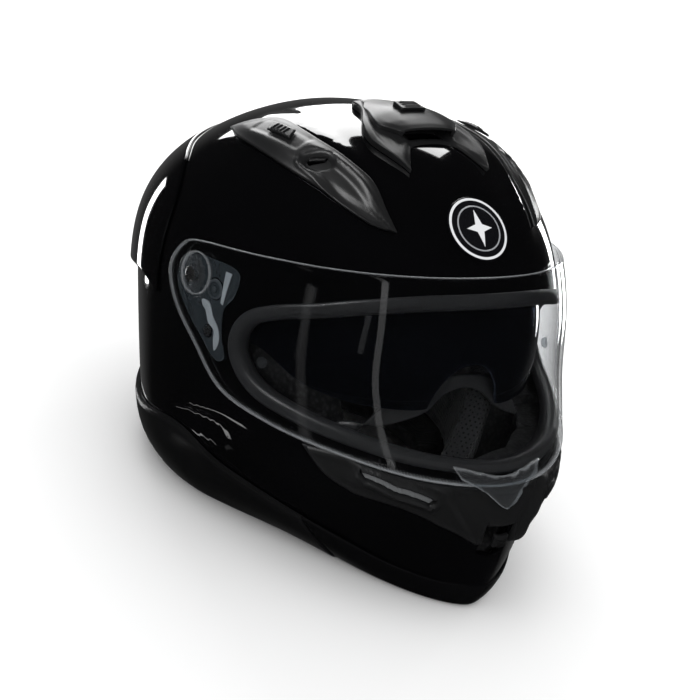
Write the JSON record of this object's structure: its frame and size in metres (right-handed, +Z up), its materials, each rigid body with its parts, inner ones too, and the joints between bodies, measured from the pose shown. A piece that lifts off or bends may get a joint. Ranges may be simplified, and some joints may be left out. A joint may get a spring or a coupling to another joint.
{
  "type": "motorcycle helmet",
  "caption": "gloss black full-face motorcycle helmet with clear flip-up visor, drop-down inner sun visor, matt black vents, chin panel and lower trims",
  "frame": {"origin": "middle of the helmet's bounding box, on the surface it stands on", "axes": "+Z up with the lower rim standing level, -Y out of the face, +X to the wearer's left"},
  "size_m": [0.2646, 0.3765, 0.2588],
  "materials": {
    "gloss_shell": "gloss clear coat",
    "matt_trim": "satin moulded",
    "clear_visor": "clear polycarbonate",
    "smoke_visor": "smoke tinted polycarbonate",
    "port_rubber": "soft satin rubber",
    "grey_plastic": "moulded mechanism plastic",
    "impact_foam": "expanded bead foam",
    "liner_cloth": "knit mesh",
    "strap_web": "woven webbing",
    "steel": "brushed",
    "emblem": "gloss enamel"
  },
  "bodies": {
    "shell": {"breath_deflector": "port_rubber", "brow_emblem": "emblem", "cheek_pad_left": "liner_cloth", "cheek_pad_right": "liner_cloth", "chin_bar_foam": "impact_foam", "chin_curtain": "liner_cloth", "chin_vent_cover": "matt_trim", "chin_vent_grille_left": "grey_plastic", "chin_vent_grille_right": "grey_plastic", "crown_pad": "liner_cloth", "eps_crown": "impact_foam", "eps_side_left": "impact_foam", "eps_side_right": "impact_foam", "eyeport_seal": "port_rubber", "lower_trim_front": "matt_trim", "lower_trim_rear": "matt_trim", "neck_roll": "liner_cloth", "outer_shell": "gloss_shell", "rear_spoiler": "gloss_shell", "side_scoop_left": "matt_trim", "side_scoop_right": "matt_trim", "strap_left": "strap_web", "strap_right": "strap_web", "strap_rivet_left": "steel", "strap_rivet_right": "steel", "sun_visor_bracket_left": "steel", "sun_visor_bracket_right": "steel", "sun_visor_cable": "port_rubber", "top_vent_cover": "matt_trim", "visor_base_left": "grey_plastic", "visor_base_right": "grey_plastic", "visor_base_screw_left": "steel", "visor_base_screw_right": "steel", "visor_pivot_screw_left": "steel", "visor_pivot_screw_right": "steel"},
    "visor_assembly": {"visor": "clear_visor", "visor_hub_left": "clear_visor", "visor_hub_right": "clear_visor", "visor_lock_tab": "clear_visor", "antifog_pin_left": "clear_visor", "antifog_pin_right": "clear_visor"},
    "sun_visor_lens": {"sun_visor": "smoke_visor"},
    "sun_lever": {"sun_visor_lever": "matt_trim"},
    "top_slider": {"top_vent_slider": "matt_trim"},
    "scoop_slider_left": {"side_scoop_slider_left": "matt_trim"},
    "scoop_slider_right": {"side_scoop_slider_right": "matt_trim"},
    "chin_slider": {"chin_vent_slider": "matt_trim"},
    "release_cam_left": {"visor_release_cam_left": "grey_plastic"},
    "release_cam_right": {"visor_release_cam_right": "grey_plastic"},
    "ring_upper": {"d_ring_upper": "steel"},
    "ring_lower": {"d_ring_lower": "steel"}
  },
  "joints": [
    {"name": "visor_hinge", "type": "hinge", "parent": "shell", "child": "visor_assembly", "pos_m": [0, 0.0056, 0.14483], "axis": [-1, 0, 0], "range_deg": [0, 50]},
    {"name": "sun_lever_slide", "type": "slide", "parent": "shell", "child": "sun_lever", "axis": [0.1691, 0.9449, -0.2802], "range_m": [0, 0.02]},
    {"name": "sun_visor_hinge", "type": "hinge", "parent": "shell", "child": "sun_visor_lens", "pos_m": [0, 0.00188, 0.11464], "axis": [-1, 0, 0], "range_deg": [0, 36]},
    {"name": "top_vent_slide", "type": "slide", "parent": "shell", "child": "top_slider", "axis": [0, 0.9996, -0.027], "range_m": [0, 0.008]},
    {"name": "scoop_slide_left", "type": "slide", "parent": "shell", "child": "scoop_slider_left", "axis": [0.032, 0.9877, -0.153], "range_m": [0, 0.007]},
    {"name": "scoop_slide_right", "type": "slide", "parent": "shell", "child": "scoop_slider_right", "axis": [-0.032, 0.9877, -0.153], "range_m": [0, 0.007]},
    {"name": "chin_vent_slide", "type": "slide", "parent": "shell", "child": "chin_slider", "axis": [0, 0.095, -0.9955], "range_m": [0, 0.008]},
    {"name": "release_cam_turn_left", "type": "hinge", "parent": "shell", "child": "release_cam_left", "pos_m": [0.12336, -0.01172, 0.14266], "axis": [0.9747, -0.2125, 0.0694], "range_deg": [0, 25]},
    {"name": "release_cam_turn_right", "type": "hinge", "parent": "shell", "child": "release_cam_right", "pos_m": [-0.12336, -0.01172, 0.14266], "axis": [-0.9747, -0.2125, 0.0694], "range_deg": [0, 25]},
    {"name": "ring_upper_swing", "type": "hinge", "parent": "shell", "child": "ring_upper", "pos_m": [0.0154, -0.049, 0.0207], "axis": [0, 0.9588, -0.284], "range_deg": [0, 60]},
    {"name": "ring_lower_swing", "type": "hinge", "parent": "shell", "child": "ring_lower", "pos_m": [0.0154, -0.0505, 0.0153], "axis": [0, 0.9588, -0.284], "range_deg": [-15, 0]}
  ],
  "couplings": [
    {"joint": "sun_visor_hinge", "follows": "sun_lever_slide", "rad_per_m": 31.416}
  ]
}
